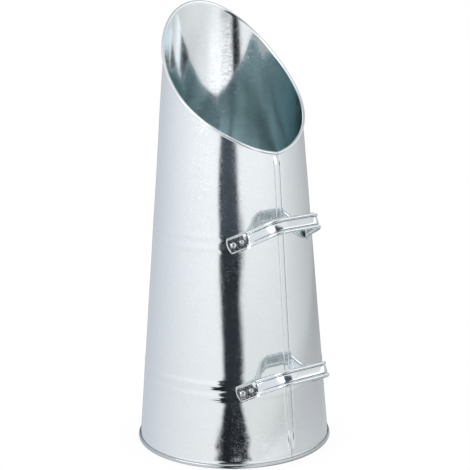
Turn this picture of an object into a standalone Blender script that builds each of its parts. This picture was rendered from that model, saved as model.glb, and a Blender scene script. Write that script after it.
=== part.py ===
"""Galvanised coal hod with a tapered sheet body, a double-seamed base, a wired mouth and two strap handles.

Metres, +Z up. The hod stands on the plane z = 0 with its axis on +Z, and the seam and handles face -Y.
The wall and the straps are drawn as middle surfaces and thickened; the base is turned from its folded outline.
Angles on the wall are turned about +Z from the seam, positive toward +X.
"""
import math

import bpy
import numpy as np

# Fits and sheet
CLEARANCE = 0.0003
SHEET = 0.0006

# Tapered body wall, measured at the middle of the sheet
BASE_RADIUS = 0.128
WALL_LEAN = math.radians(4.574)
TAPER = math.tan(WALL_LEAN)
WALL_COLUMNS = 40

# Slanted mouth, lowest at the seam and highest at the lip
MOUTH_LOW = 0.4035
MOUTH_HIGH = 0.5834
LIP_TURN = math.radians(-4.5)
MOUTH_SHAPE = (-0.0069, 0.0193, 0.0132)

# Wired edge of the mouth
WIRE_RADIUS = 0.00105
ROLL_RADIUS = WIRE_RADIUS + CLEARANCE + SHEET / 2
ROLL_ARC = math.radians(290)
ROLL_STEPS = 6
ROLL_SQUARE = 0.020

# Grooved lock seam, four layers deep
SEAM_GAP = 0.00015
SEAM_LAYER = SHEET + SEAM_GAP
SEAM_HALF = 0.0022
SEAM_SLIT = 0.0003
SEAM_TONGUE = SEAM_HALF - SHEET / 2
SEAM_JOG = SEAM_HALF + 2.4 * SEAM_LAYER
SEAM_JOG_RUN = 2 * SHEET
SEAM_BOTTOM = 0.0150
SEAM_TOP = 0.0120
SEAM_FADE = 0.0055

# Two pairs of swaged beads, one pair behind each handle
UPPER_HEIGHT = 0.2920
LOWER_HEIGHT = 0.1010
BEAD_HEIGHT = 0.0009
BEAD_WIDTH = 0.0150
BEAD_STEPS = (0.6, 1.4)

# Double seam that joins the base to the wall
FOLD = SHEET + CLEARANCE
FOLD_CENTRE = SHEET / 2 + 2 * FOLD
FOLD_HEIGHT = 0.0021
FOLD_TOP = FOLD_CENTRE + FOLD_HEIGHT
BASE_RECESS = 0.0080
BASE_CORNER = 0.0015

# Strap handle section
STRAP = 0.0009
STRAP_WIDTH = 0.0205
CURL_RADIUS = 0.0019
CURL_CENTRE = STRAP_WIDTH / 2 - CURL_RADIUS - STRAP / 2
CURL_OPEN = math.radians(170)
CURL_FLANGE = math.radians(20)
CURL_STEPS = 5
PANEL_RISE = 0.0021
PANEL_GAP = 0.0007
PANEL_HALF = CURL_CENTRE - CURL_RADIUS - STRAP - PANEL_GAP
PANEL_SIDE = 0.0010

# Strap handle plan
TAB_SIDE = 0.0570
TAB_OUTER = 0.0113
TAB_INNER = 0.0165
TAB_WIDTH = 0.0205
TAB_SLOPE = math.radians(20)
TAB_BULGE = 0.0024
TAB_LIP = 0.0009
TAB_LIP_RUN = 0.0026
TAB_FACING = math.radians(-34)
TAB_CLEAR = BEAD_HEIGHT + SHEET / 2 + CLEARANCE + STRAP / 2
GRIP_REACH = 0.0515
GRIP_RISE = 0.0277
GRIP_HALF = 0.0345
ROOT_BEND = 0.0070
ROOT_TWIST = 0.0040
GRIP_BEND = 0.0220

# Rivets
RIVET_PITCH = 0.0113
RIVET_SHANK = 0.0020
RIVET_OUTER_HEAD = 0.0037
RIVET_INNER_HEAD = 0.0029
RIVET_DOME = 0.0017
RIVET_DIMPLE = 0.0012
RIVET_TAIL = 0.0030
RIVET_TAIL_DEPTH = 0.0012
RIVET_SIDES = 10


def clear_scene():
    """Remove what is in the scene, so the part starts from nothing."""
    for item in list(bpy.data.objects):
        bpy.data.objects.remove(item, do_unlink=True)


def metal(name, colour, roughness):
    """Return a plain metal material."""
    material = bpy.data.materials.new(name)
    material.use_nodes = True
    shader = material.node_tree.nodes["Principled BSDF"]
    shader.inputs["Base Color"].default_value = (*colour, 1.0)
    shader.inputs["Metallic"].default_value = 1.0
    shader.inputs["Roughness"].default_value = roughness
    return material


def add_object(name, points, faces, material=None):
    """Add one named mesh object, smooth shaded, with its place in the mesh."""
    mesh = bpy.data.meshes.new(name)
    mesh.from_pydata([tuple(point) for point in points], [], faces)
    mesh.polygons.foreach_set("use_smooth", [True] * len(mesh.polygons))
    mesh.update()
    item = bpy.data.objects.new(name, mesh)
    bpy.context.scene.collection.objects.link(item)
    if material:
        mesh.materials.append(material)
    return item


def thicken(item, thickness):
    """Turn a middle surface into sheet, half the thickness to each side."""
    solid = item.modifiers.new("Sheet", "SOLIDIFY")
    solid.thickness = thickness
    solid.offset = 0.0
    solid.use_even_offset = True
    solid.use_quality_normals = True


def cut(item, cutter):
    """Cut the rivet holes of one handle."""
    hole = item.modifiers.new("Rivet holes", "BOOLEAN")
    hole.operation = "DIFFERENCE"
    hole.solver = "EXACT"
    hole.object = cutter


def grid_faces(rows, columns, present=None, closed=False):
    """Return the quads of a grid, only where all four corners are present."""
    faces = []
    for row in range(rows - 1):
        for column in range(columns if closed else columns - 1):
            other = (column + 1) % columns
            corners = ((row, column), (row, other), (row + 1, other), (row + 1, column))
            if present is None or all(present[corner] for corner in corners):
                faces.append([r * columns + c for r, c in corners])
    return faces


def unit(vector):
    """Return vectors of length one."""
    return vector / np.linalg.norm(vector, axis=-1, keepdims=True)


def radial(angle):
    """Return the outward direction at an angle from the seam."""
    angle = np.asarray(angle, float)
    return np.stack([np.sin(angle), -np.cos(angle), np.zeros_like(angle)], axis=-1)


def tangent(angle):
    """Return the direction of growing angle."""
    angle = np.asarray(angle, float)
    return np.stack([np.cos(angle), np.sin(angle), np.zeros_like(angle)], axis=-1)


def polar(radius, angle, height):
    """Return points at a radius, an angle from the seam and a height."""
    flat = radial(angle) * np.asarray(radius, float)[..., None]
    flat[..., 2] = height
    return flat


def wall_radius(height):
    """Return the radius of the middle of the wall sheet, beads left out."""
    return BASE_RADIUS - TAPER * np.asarray(height, float)


def mouth_height(angle):
    """Return the height of the mouth: half a cosine from seam to lip, with three small sine terms."""
    turn = np.mod(np.asarray(angle, float), 2 * math.pi)
    lip = math.pi + LIP_TURN
    part = math.pi * np.where(turn <= lip, turn / lip, (2 * math.pi - turn) / (2 * math.pi - lip))
    rise = (1 - np.cos(part)) / 2
    for count, share in enumerate(MOUTH_SHAPE, start=1):
        rise = rise + share * np.sin(count * part)
    return MOUTH_LOW + (MOUTH_HIGH - MOUTH_LOW) * rise


def mouth_frame(angle):
    """Return the start of the rolled edge, its outward direction and its direction across the edge."""
    turn = np.mod(np.asarray(angle, float), 2 * math.pi)
    height = mouth_height(turn) - ROLL_RADIUS
    radius = wall_radius(height)
    low = np.clip(turn - 0.01, 0.0, 2 * math.pi - 1e-9)
    high = np.clip(turn + 0.01, 0.0, 2 * math.pi - 1e-9)
    slope = np.arctan2(mouth_height(high) - mouth_height(low), radius * (high - low))
    seam_distance = radius * np.minimum(turn, 2 * math.pi - turn)
    slope = slope * np.clip(seam_distance / ROLL_SQUARE, 0.0, 1.0)
    across = -np.sin(slope)[..., None] * tangent(turn)
    across[..., 2] = np.cos(slope)
    return polar(radius, turn, height), radial(turn), across


def turn_points(centre, level, side):
    """Return the middle points of a half-round fold in the seam, from its outer layer to its inner one."""
    points = []
    for degrees in (60, 120):
        angle = math.radians(degrees)
        points.append((centre + side * SEAM_LAYER * math.sin(angle), level + math.cos(angle)))
    return points


def wall_columns():
    """Return base angle, arc, layer and kind of every column, from one hooked edge round to the other."""
    hook_a = [(SEAM_TONGUE, 2), (-SEAM_HALF, 2)]
    hook_a += turn_points(-SEAM_HALF, 1, -1)
    hook_a += [(-SEAM_HALF, 0)]
    hook_b = [(SEAM_HALF, 3)]
    hook_b += turn_points(SEAM_HALF, 2, 1)
    hook_b += [(SEAM_HALF, 1), (-SEAM_TONGUE, 1)]
    columns = [(0.0, arc, layer, "hook") for arc, layer in hook_a]
    columns += [(0.0, SEAM_SLIT, 0, "wall"), (0.0, SEAM_JOG, 0, "wall")]
    for index in range(1, WALL_COLUMNS):
        columns.append((2 * math.pi * index / WALL_COLUMNS, 0.0, 0, "wall"))
    columns.append((2 * math.pi, -SEAM_JOG - SEAM_JOG_RUN, 0, "wall"))
    columns += [(2 * math.pi, -SEAM_JOG, 3, "wall"), (2 * math.pi, -SEAM_SLIT, 3, "wall")]
    columns += [(2 * math.pi, arc, layer, "hook") for arc, layer in hook_b]
    return columns


def ring_angles(height):
    """Return the angles of the wall columns that run past the seam's ends, for pieces that follow the wall."""
    places = [(angle, arc) for angle, arc, _, kind in wall_columns() if kind == "wall"]
    return np.array([angle + arc / wall_radius(height) for angle, arc in places])


def bead_rows(middle):
    """Return offset and height of the wall at one pair of beads, from below to above."""
    rows = [(0.0, middle - BEAD_WIDTH)]
    for bead in (-1, 0):
        for step in BEAD_STEPS:
            share = 1 - (step - 1) ** 2
            rows.append((BEAD_HEIGHT * share, middle + BEAD_WIDTH * (bead + step / 2)))
        rows.append((0.0, middle + BEAD_WIDTH * (bead + 1)))
    return rows


def wall_rows():
    """Return the rows of the wall below the mouth as offset, height and whether the seam is locked there."""
    rows = [(2 * FOLD, FOLD_TOP, False), (2 * FOLD, FOLD_CENTRE, False)]
    for degrees in (60, 120):
        angle = math.radians(degrees)
        rows.append((FOLD + FOLD * math.cos(angle), FOLD_CENTRE - FOLD * math.sin(angle), False))
    rows.append((0.0, FOLD_CENTRE, False))
    rows.append((0.0, SEAM_BOTTOM - SEAM_FADE, False))
    rows.append((0.0, SEAM_BOTTOM, True))
    for middle in (LOWER_HEIGHT, UPPER_HEIGHT):
        rows += [(offset, height, True) for offset, height in bead_rows(middle)]
    return rows


def body_shell(material, cutters):
    """The wall: one sheet hooked to itself at the seam, flanged under the base and rolled over the mouth wire."""
    columns = wall_columns()
    base_angle = np.array([column[0] for column in columns])
    arc = np.array([column[1] for column in columns])
    layer = np.array([column[2] for column in columns]) * SEAM_LAYER
    hook = np.array([column[3] == "hook" for column in columns])
    points = []
    present = []

    def add_row(offset, height, locked):
        radius = wall_radius(height)
        angle = base_angle + arc / radius
        points.append(polar(radius + offset + (layer if locked else 0.0), angle, height))
        present.append(~hook | locked)

    for offset, height, locked in wall_rows():
        add_row(offset, np.full(len(columns), height), locked)
    mouth_angle = base_angle + arc / wall_radius(MOUTH_LOW)
    top = mouth_height(np.clip(mouth_angle, 0.0, 2 * math.pi - 1e-9))
    add_row(0.0, top - SEAM_TOP, True)
    add_row(0.0, top - SEAM_TOP + SEAM_FADE, False)
    edge, out, across = mouth_frame(np.clip(mouth_angle, 0.0, 2 * math.pi - 1e-9))
    for step in range(ROLL_STEPS + 1):
        angle = ROLL_ARC * step / ROLL_STEPS
        points.append(edge + ROLL_RADIUS * ((1 - math.cos(angle)) * out + math.sin(angle) * across))
        present.append(~hook)
    present = np.array(present)
    faces = grid_faces(len(points), len(columns), present)
    used = sorted({index for face in faces for index in face})
    place = {old: new for new, old in enumerate(used)}
    stacked = np.concatenate(points)
    item = add_object("body_shell", stacked[used], [[place[i] for i in face] for face in faces], material)
    thicken(item, SHEET)
    for cutter in cutters:
        cut(item, cutter)
    return item


def sheet_outline(middle, thickness):
    """Return the closed outline of a folded sheet: its middle line moved half a thickness to each side, mitred."""
    line = np.array(middle)
    along = unit(np.diff(line, axis=0))
    side = np.stack([-along[:, 1], along[:, 0]], axis=1)
    mitre = np.concatenate([side[:1], side]) + np.concatenate([side, side[-1:]])
    mitre = mitre * thickness / np.sum(mitre ** 2, axis=1, keepdims=True)
    return np.concatenate([line - mitre, (line + mitre)[::-1]])


def base_disc(material):
    """The base: a raised panel whose edge runs under the wall, up outside it and down into its flange."""
    rows = [(-FOLD - 2 * BASE_CORNER, BASE_RECESS), (-FOLD - BASE_CORNER, BASE_RECESS)]
    rows += [(-FOLD, BASE_RECESS - BASE_CORNER), (-FOLD, FOLD_CENTRE)]
    for degrees in (22.5, 67.5, 112.5, 157.5):
        angle = math.radians(degrees)
        rows.append((FOLD - 2 * FOLD * math.cos(angle), FOLD_CENTRE - 2 * FOLD * math.sin(angle)))
    rows += [(3 * FOLD, FOLD_CENTRE), (3 * FOLD, FOLD_TOP)]
    for degrees in (60, 120):
        angle = math.radians(degrees)
        rows.append((2 * FOLD + FOLD * math.cos(angle), FOLD_TOP + FOLD * math.sin(angle)))
    rows += [(FOLD, FOLD_TOP), (FOLD, FOLD_CENTRE + 2 * CLEARANCE)]
    outline = sheet_outline(rows, SHEET)
    outline[:, 1] -= outline[:, 1].min()
    angles = ring_angles(0.0)
    rings = []
    for offset, height in outline:
        rings.append(polar(np.full(len(angles), wall_radius(height) + offset), angles, height))
    faces = grid_faces(len(rings), len(angles), closed=True)
    faces.append(list(range(len(angles)))[::-1])
    last = len(angles) * (len(rings) - 1)
    faces.append(list(range(last, last + len(angles))))
    return add_object("base_disc", np.concatenate(rings), faces, material)


def rim_wire(material):
    """The wire inside the rolled mouth, its two ends meeting at the seam."""
    angles = ring_angles(MOUTH_LOW)
    edge, out, across = mouth_frame(angles)
    centre = edge + ROLL_RADIUS * out
    sides = 6
    rings = []
    for side in range(sides):
        turn = 2 * math.pi * side / sides
        rings.append(centre + WIRE_RADIUS * (math.cos(turn) * out - math.sin(turn) * across))
    points = np.stack(rings, axis=1).reshape(-1, 3)
    faces = grid_faces(len(angles), sides, closed=True)
    last = sides * (len(angles) - 1)
    faces.append(list(range(sides))[::-1])
    faces.append(list(range(last, last + sides)))
    return add_object("rim_wire", points, faces, material)


def tab_stand(height):
    """Return the angle of a left tab's middle, and the distance at which its flat plate clears the round wall."""
    radius = float(wall_radius(height))
    middle = -math.asin(TAB_SIDE / (radius + TAB_CLEAR))
    return middle, TAB_CLEAR + radius * (1 - math.cos(middle - TAB_FACING))


def tab_place(height, along, stand):
    """Return point and outward normal on a left tab, at a length along it from the middle of its rivets."""
    along = np.asarray(along, float)
    middle, _ = tab_stand(height)
    side = tangent(TAB_FACING)
    normal = radial(TAB_FACING)
    normal[2] = TAPER
    normal = unit(normal)
    direction = math.cos(TAB_SLOPE) * side + math.sin(TAB_SLOPE) * np.cross(normal, side)
    point = polar(wall_radius(height), middle, height) + stand * normal + along[..., None] * direction
    return point, np.broadcast_to(normal, point.shape)


def round_corner(corner, before, after, radius, steps):
    """Return the points of an arc that rounds a corner between two directions."""
    turn = math.acos(float(np.dot(before, after)))
    inward = unit(after - before * np.dot(before, after))
    start = corner - before * radius * math.tan(turn / 2)
    angles = np.linspace(0.0, turn, steps + 1)[:, None]
    return start + radius * (np.sin(angles) * before + (1 - np.cos(angles)) * inward)


def strap_path(height):
    """Return points, across directions and curl share of the strap, from the left tab to the right one."""
    _, stand = tab_stand(height)
    reach = math.sqrt((wall_radius(height) + stand) ** 2 - TAB_SIDE ** 2) + GRIP_REACH
    ends, _ = tab_place(height, [0.0, TAB_INNER], stand)
    root = ends[1]
    root_direction = unit(ends[1] - ends[0])
    corner = np.array([-GRIP_HALF, -reach, height + GRIP_RISE])
    flank = unit(corner - root)
    grip = np.array([1.0, 0.0, 0.0])
    root_arc = round_corner(root, root_direction, flank, ROOT_BEND, 3)
    grip_arc = round_corner(corner, flank, grip, GRIP_BEND, 5)
    trim = np.linalg.norm(root - root_arc[0])
    along = [-TAB_OUTER, TAB_LIP_RUN - TAB_OUTER, 0.0, TAB_INNER - trim]
    tab, normals = tab_place(height, along, stand)
    tab_up = np.cross(normals, root_direction)
    bow_up = unit(np.cross(grip, flank))
    bow_up = bow_up * np.sign(bow_up[2])
    middle = np.array([[0.0, corner[1], corner[2]]])
    half = np.concatenate([tab[:3], root_arc, grip_arc, middle])
    share = np.concatenate([np.zeros(5), np.ones(9)])
    run = np.concatenate([[0.0], np.cumsum(np.linalg.norm(np.diff(half, axis=0), axis=1))])
    blend = np.clip((run - run[3] + ROOT_TWIST) / (run[6] - run[3] + ROOT_TWIST), 0.0, 1.0)[:, None]
    up = (1 - blend) * tab_up[0] + blend * bow_up
    mirror = np.array([-1.0, 1.0, 1.0])
    points = np.concatenate([half, half[-2::-1] * mirror])
    ups = np.concatenate([up, up[-2::-1] * mirror])
    return points, ups, np.concatenate([share, share[-2::-1]])


def strap_section(share):
    """Return the half section, from the middle to the edge: a flat tab at 0, a raised panel and curl at 1."""
    rise = PANEL_RISE * share
    centre = CURL_CENTRE - (1 - share) * (STRAP_WIDTH - TAB_WIDTH) / 2
    panel = PANEL_HALF * centre / CURL_CENTRE
    section = [(0.0, rise), (panel, rise), (panel + PANEL_SIDE, 0.3 * rise)]
    section.append((centre - CURL_RADIUS / 2, 0.0))
    end = CURL_FLANGE + (CURL_OPEN - CURL_FLANGE) * share
    for angle in np.linspace(-math.pi / 2, end, CURL_STEPS + 1):
        section.append((centre + CURL_RADIUS * math.cos(angle), CURL_RADIUS * (1 + math.sin(angle))))
    return section


def strap_handle(name, height, material, cutter):
    """A handle pressed from one strap: tabs on the beads, curled edges and a raised grip panel."""
    path, ups, shares = strap_path(height)
    along = unit(np.gradient(path, axis=0))
    rows = []
    for index, share in enumerate(shares):
        half = strap_section(share)
        section = [(-across, out) for across, out in half[:0:-1]] + half
        up = unit(ups[index] - along[index] * np.dot(along[index], ups[index]))
        out = np.cross(along[index], up)
        end = {0: -1.0, len(shares) - 1: 1.0}.get(index, 0.0)
        row = []
        for across, rise in section:
            bulge = end * TAB_BULGE * (1 - (2 * across / STRAP_WIDTH) ** 2)
            lift = rise + abs(end) * TAB_LIP
            row.append(path[index] + across * up + lift * out + bulge * along[index])
        rows.append(row)
    columns = len(rows[0])
    item = add_object(name, np.array(rows).reshape(-1, 3), grid_faces(len(rows), columns), material)
    thicken(item, STRAP)
    cut(item, cutter)
    return item


def rivet_places(height):
    """Return name, point close to the bare wall, axis and head radius of the four rivets of one handle."""
    places = []
    rows = (("outer", -RIVET_PITCH / 2, RIVET_OUTER_HEAD), ("inner", RIVET_PITCH / 2, RIVET_INNER_HEAD))
    for row, along, head in rows:
        point, axis = tab_place(height, along, 0.0)
        mirror = np.array([-1.0, 1.0, 1.0])
        places.append(("left_" + row, point, axis, head))
        places.append(("right_" + row, point * mirror, axis * mirror, head))
    return places


def turned(profile, sides, point, axis):
    """Return points and faces of a solid turned from radius and height pairs about an axis."""
    first = unit(np.cross(axis, np.array([0.0, 0.0, 1.0])))
    second = np.cross(axis, first)
    points = []
    for radius, height in profile:
        for side in range(sides):
            angle = 2 * math.pi * side / sides
            spoke = math.cos(angle) * first + math.sin(angle) * second
            points.append(point + axis * height + radius * spoke)
    faces = grid_faces(len(profile), sides, closed=True)
    last = sides * (len(profile) - 1)
    faces.append(list(range(sides))[::-1])
    faces.append(list(range(last, last + sides)))
    return points, faces


def hole_cutter(name, height):
    """Four pins that cut the rivet holes through one handle and the wall behind it."""
    points = []
    faces = []
    reach = tab_stand(height)[1] + STRAP
    radius = RIVET_SHANK + CLEARANCE
    for _, point, axis, _ in rivet_places(height):
        pin, pin_faces = turned([(radius, -2 * reach), (radius, 2 * reach)], RIVET_SIDES, point, axis)
        faces += [[index + len(points) for index in face] for face in pin_faces]
        points += pin
    item = add_object(name, points, faces)
    item.hide_render = True
    item.display_type = "WIRE"
    return item


def rivet(name, height, point, axis, head, material):
    """A rivet: domed head with a dimple on the tab, shank through both sheets, flat tail inside the wall."""
    seat = tab_stand(height)[1] + STRAP / 2 + CLEARANCE
    wall_depth = math.hypot(point[0], point[1]) - float(wall_radius(point[2]))
    wall_turn = abs(math.atan2(point[0], -point[1])) - abs(TAB_FACING)
    tail = -SHEET / 2 - 1.5 * CLEARANCE - wall_depth - RIVET_TAIL * abs(math.sin(wall_turn))
    profile = [(RIVET_TAIL, tail - RIVET_TAIL_DEPTH), (RIVET_TAIL, tail)]
    profile += [(RIVET_SHANK, tail), (RIVET_SHANK, seat), (head, seat)]
    profile += [(0.9 * head, seat + 0.6 * RIVET_DOME), (0.65 * head, seat + RIVET_DOME)]
    profile += [(0.45 * head, seat + RIVET_DOME), (0.3 * head, seat + RIVET_DOME - RIVET_DIMPLE)]
    points, faces = turned(profile, RIVET_SIDES, point, axis)
    return add_object(name, points, faces, material)


def build():
    """Build the hod from its named pieces."""
    clear_scene()
    zinc = metal("galvanised_body", (0.80, 0.83, 0.85), 0.16)
    base_zinc = metal("galvanised_base", (0.72, 0.75, 0.77), 0.24)
    wire_zinc = metal("galvanised_wire", (0.66, 0.68, 0.70), 0.30)
    strap_zinc = metal("galvanised_strap", (0.76, 0.79, 0.81), 0.20)
    rivet_steel = metal("plated_rivet", (0.70, 0.72, 0.73), 0.26)
    heights = {"upper": UPPER_HEIGHT, "lower": LOWER_HEIGHT}
    cutters = {key: hole_cutter(key + "_hole_cutter", height) for key, height in heights.items()}
    body_shell(zinc, cutters.values())
    base_disc(base_zinc)
    rim_wire(wire_zinc)
    for key, height in heights.items():
        strap_handle(key + "_handle", height, strap_zinc, cutters[key])
        for spot, point, axis, head in rivet_places(height):
            rivet(key + "_rivet_" + spot, height, point, axis, head, rivet_steel)


build()
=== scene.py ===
"""Finished looks of a galvanised coal hod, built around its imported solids.

Sizes are in metres. The hod stands on z = 0 with its axis on +Z, and its seam and handles face -Y.
Angles on the wall are turned about +Z from the seam, positive toward +X.
"""
import math

import bpy
import numpy as np
from mathutils import Matrix


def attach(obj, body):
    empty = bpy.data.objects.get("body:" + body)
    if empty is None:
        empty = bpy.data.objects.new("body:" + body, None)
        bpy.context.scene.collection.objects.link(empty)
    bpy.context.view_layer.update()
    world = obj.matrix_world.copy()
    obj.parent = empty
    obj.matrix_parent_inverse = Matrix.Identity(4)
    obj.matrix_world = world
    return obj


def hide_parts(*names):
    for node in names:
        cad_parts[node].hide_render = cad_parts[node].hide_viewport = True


bl_info = {
    "name": "Galvanised Coal Hod",
    "version": (1, 0, 0),
    "blender": (4, 5, 0),
    "location": "View3D > Sidebar > Hod",
    "description": "Builds the sheet metal of a coal hod and the studio round it",
    "category": "Object",
}

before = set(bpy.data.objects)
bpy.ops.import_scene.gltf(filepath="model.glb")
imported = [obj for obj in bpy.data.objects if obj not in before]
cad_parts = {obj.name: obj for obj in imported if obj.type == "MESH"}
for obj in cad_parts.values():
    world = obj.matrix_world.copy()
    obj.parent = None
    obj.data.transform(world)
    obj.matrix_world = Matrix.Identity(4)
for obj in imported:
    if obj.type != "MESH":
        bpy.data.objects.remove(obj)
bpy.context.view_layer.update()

# Fits
CLEARANCE = 0.0003

# Full turn, the last angle before it, the upright direction, and the mirror from the left side to the right
FULL_TURN = 2 * math.pi
LAST_ANGLE = FULL_TURN - 1e-9
UPRIGHT = np.array([0.0, 0.0, 1.0])
MIRROR = np.array([-1.0, 1.0, 1.0])

# Mouth: three sine terms on its half cosine, the step for its slope, and the roll over the wire
MOUTH_SHAPE = (-0.0069, 0.0193, 0.0132)
MOUTH_SLOPE_STEP = 0.01
ROLL_ARC = math.radians(290)
ROLL_STEPS = 20
ROLL_SQUARE = 0.020
WIRE_SIDES = 14
WIRE_STATIONS = 220

# Lock seam, four layers deep: it fades in below SEAM_BOTTOM, and out over shares of the way to the mouth
SEAM_GAP = 0.00015
SEAM_HALF = 0.0022
SEAM_SLIT = 0.0003
SEAM_JOG_LAYERS = 2.4
SEAM_JOG_RUN = 0.0012
SEAM_JOG_STEPS = 6
SEAM_BOTTOM = 0.0420
SEAM_FADE = 0.0325
SEAM_ENDS = (0.80, 0.998)
SEAM_FOLD_STEPS = 9
SEAM_CLEAR_ANGLE = 0.070
FULL_LOCK = 0.999

# Beads: share of their height in each of a pair, angles from the seam where they run out, share left there
LOWER_BEADS = (0.33, 0.57)
UPPER_BEADS = (0.16, 0.16)
BEAD_ENDS = (0.69, 0.77)
BEAD_LEFT = 0.15

# Slight crown of the high back below the mouth, over shares of the way from the upper beads to the edge
CROWN = 0.00040
CROWN_START = 0.30
CROWN_PEAK = 0.66
CROWN_BACK = (0.46, 0.54)

# Slow waves of the sheet: they come in over heights above the foot and over angles from the seam
WAVE_FOOT = (0.006, 0.030)
WAVE_SEAM = (0.05, 0.20)

# Columns and rows of the wall, and the share of the way to the mouth that has the wider rows
WALL_COLUMNS = 182
FOOT_ROWS = 8
BEAD_ROWS = 30
PLAIN_ROWS = 30
MOUTH_ROWS = 12
WIDE_ROWS = 0.86

# Double seam at the foot
FOLD_HEIGHT = 0.0021
FOLD_STEPS = 10
FOOT_FLARE = 0.00025
FOOT_FLARE_TOP = 0.0085
BASE_RECESS = 0.0080
BASE_CORNER = 0.0015
BASE_CORNER_STEPS = 7
BASE_CROWN = 0.0007
BASE_COLUMNS = 192
BASE_RINGS = 14
BASE_EYE = 0.002

# Strap handle section
CURL_OPEN = math.radians(170)
CURL_FLANGE = math.radians(20)
PANEL_GAP = 0.0007
PANEL_SIDE = 0.0010
PANEL_KNEE = 0.3
PANEL_CROWN = 0.00015
SECTION_POINTS = (8, 4, 4, 2)
CURL_POINTS = 18
SECTION_PASSES = 2

# Strap handle plan
TAB_SIDE = 0.0570
TAB_SLOPE = math.radians(20)
TAB_FACING = math.radians(-34)
TAB_BULGE = 0.0024
TAB_BULGE_RUN = 0.0060
TAB_BOW = 0.0006
TAB_BOW_RUN = 0.0130
TAB_LIP = 0.0003
TAB_LIP_RUN = 0.0015
ROOT_BEND = 0.0070
ROOT_TWIST = 0.0040
ROOT_STEP = 0.0010
GRIP_BEND = 0.0220
TAB_STATIONS = 28
BEND_STEPS = 16
RUN_STATIONS = 20

# Rivets
RIVET_SHANK = 0.0020
RIVET_DOME = 0.0017
RIVET_DIMPLE = 0.0012
RIVET_TAIL = 0.0030
RIVET_TAIL_DEPTH = 0.0012
RIVET_SIDES = 40

# Faces that meet at more than this angle keep a crisp edge
CRISP = math.radians(48)

# Zinc crystals: waves of their ragged borders to a crystal, and how far those reach in widths
RAGS = 0.45
RAG_REACH = 1.6

# Zinc patterns: how fine each noise is, and the part of it that is used
CLOUDS = 16.0
PATCHES = 38.0
RIPPLES = 55.0
STREAKS = 420.0
SCUFFS = 620.0
FLECKS = 900.0
FLECK_SPAN = (0.46, 0.74)
PATCH_SPAN = (0.34, 0.66, 0.6, 1.0)
SCUFF_SPAN = (0.54, 0.74, 1.0, 6.0)
SCUFF_SCALE = (0.2, 0.2, 1.2)

# Darkest and lightest shade of the zinc, and the crystals' share in the shade and in the grain
SHADES = (0.965, 1.03)
CRYSTAL_SHADE = 0.4
CRYSTAL_GRAIN = 0.35

# Roughness that the zinc's patterns add and their usual sum, and the depth of its two bumps
CRYSTAL_ROUGH = 0.05
STREAK_ROUGH = 0.06
CLOUD_ROUGH = 0.04
PATTERN_ROUGH = 0.06
RIPPLE_DEPTH = 0.00002
GRAIN_DEPTH = 0.000003

# Wear along an axis between two places: factors on the flecks at both, and on the roughness at the first
SHEET_WEAR = {"axis": "Z", "places": (0.05, 0.25), "flecks": (0.20, 0.60), "rough": 0.6}
STRAP_WEAR = {"axis": "X", "places": (0.018, 0.032), "flecks": (1.0, 0.25), "rough": 1.0}

# Roughness of the other pieces beside the wall's, and the finish of the wire
BASE_DULL = 0.05
STRAP_DULL = 0.02
STRAP_BACK_DULL = 0.12
WIRE_ROUGH = 0.28
WIRE_SPANGLE = 0.0012

# Rivet plating: how fine its noises are, the part of one that is used, roughness, shades and hammered depth
HAMMERING = 900.0
SPOTS = 1700.0
SPOT_SPAN = (0.52, 0.70)
PLATE_ROUGH = 0.10
HAMMER_ROUGH = 0.08
SPOT_ROUGH = 0.12
PLATE_SHADES = (0.92, 1.05)
HAMMER_DEPTH = 0.00008

# Camera of the photograph
CAMERA_PLACE = (-1.05492, -1.45847, 0.69744)
CAMERA_RIGHT = (0.80779, -0.58940, -0.00923)
CAMERA_UP = (0.14081, 0.17773, 0.97395)
CAMERA_SENSOR = 36.0

# Light tent: the height of its middle, and its mesh in degrees right of the lens and above the level
TENT_MIDDLE = 0.25
AZIMUTH_STOPS = (-180.0, -60.0, 60.0, 180.0)
AZIMUTH_STEPS = (48, 200, 48)
ELEVATION_STOPS = (-89.5, -30.0, -16.0, -12.0, 3.0, 48.0, 89.5)
ELEVATION_STEPS = (40, 70, 40, 75, 60, 14)

# Walls of the tent: the power of their fall from front to back, and factors on the front at some elevations
TENT_FALL = 1.3
RISE_STEPS = (-13.5, -8.4, -5.5, -1.8)
LEFT_RISE = (0.98, 1.02, 1.06, 1.095)
RIGHT_RISE = (0.91, 0.96, 1.03, 1.12)

# Bright board low on the right of the tent, which ends in two steps
BOARD_STEPS = (-18.0, -16.8, -14.0, -13.75)
BOARD_GLOW = (0.0, 0.48, 0.48, 0.0)
BOARD_NEAR_END = (34.0, 46.0)
BOARD_FAR_END = (60.0, 80.0)

# Uneven glow of the tent's right side, its darker roof, and its darker right side near the floor
SIDE_START = (20.0, 70.0)
SIDE_STEPS = (-20.0, -17.0, -14.5, -13.0, -11.5, -7.0)
SIDE_GLOW = (0.2, 0.0, -0.12, -0.15, 0.06, 0.05)
ROOF_START = (12.0, 25.0)
ROOF_SHADE = 0.10
LOW_START = (25.0, 45.0)
LOW_STOP = (105.0, 135.0)
LOW_TOP = (-20.0, -18.0)
LOW_SHADE = 0.5

# Lamps at both sides of the tent
LAMP_FOOT = (2.0, 9.0)
LAMP_TOP = (15.0, 22.0)
LAMP_START = (20.0, 40.0)
LAMP_LEFT_END = (-80.0, -60.0)
LAMP_LEFT = 3.0
LAMP_RIGHT = 0.6

# Red and blue of the tent beside its green: at the front, toward the back, in a warm zone and in the slit
FRONT_TINT = (1.012, 1.022)
LEFT_COOLING = (0.040, 0.078)
RIGHT_COOLING = (0.013, 0.024)
WARM_FOOT = (-14.0, -13.0)
WARM_TOP = (-13.0, -4.0)
WARMING = (0.015, 0.028)
SLIT_TINT = (0.84, 1.24)

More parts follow.
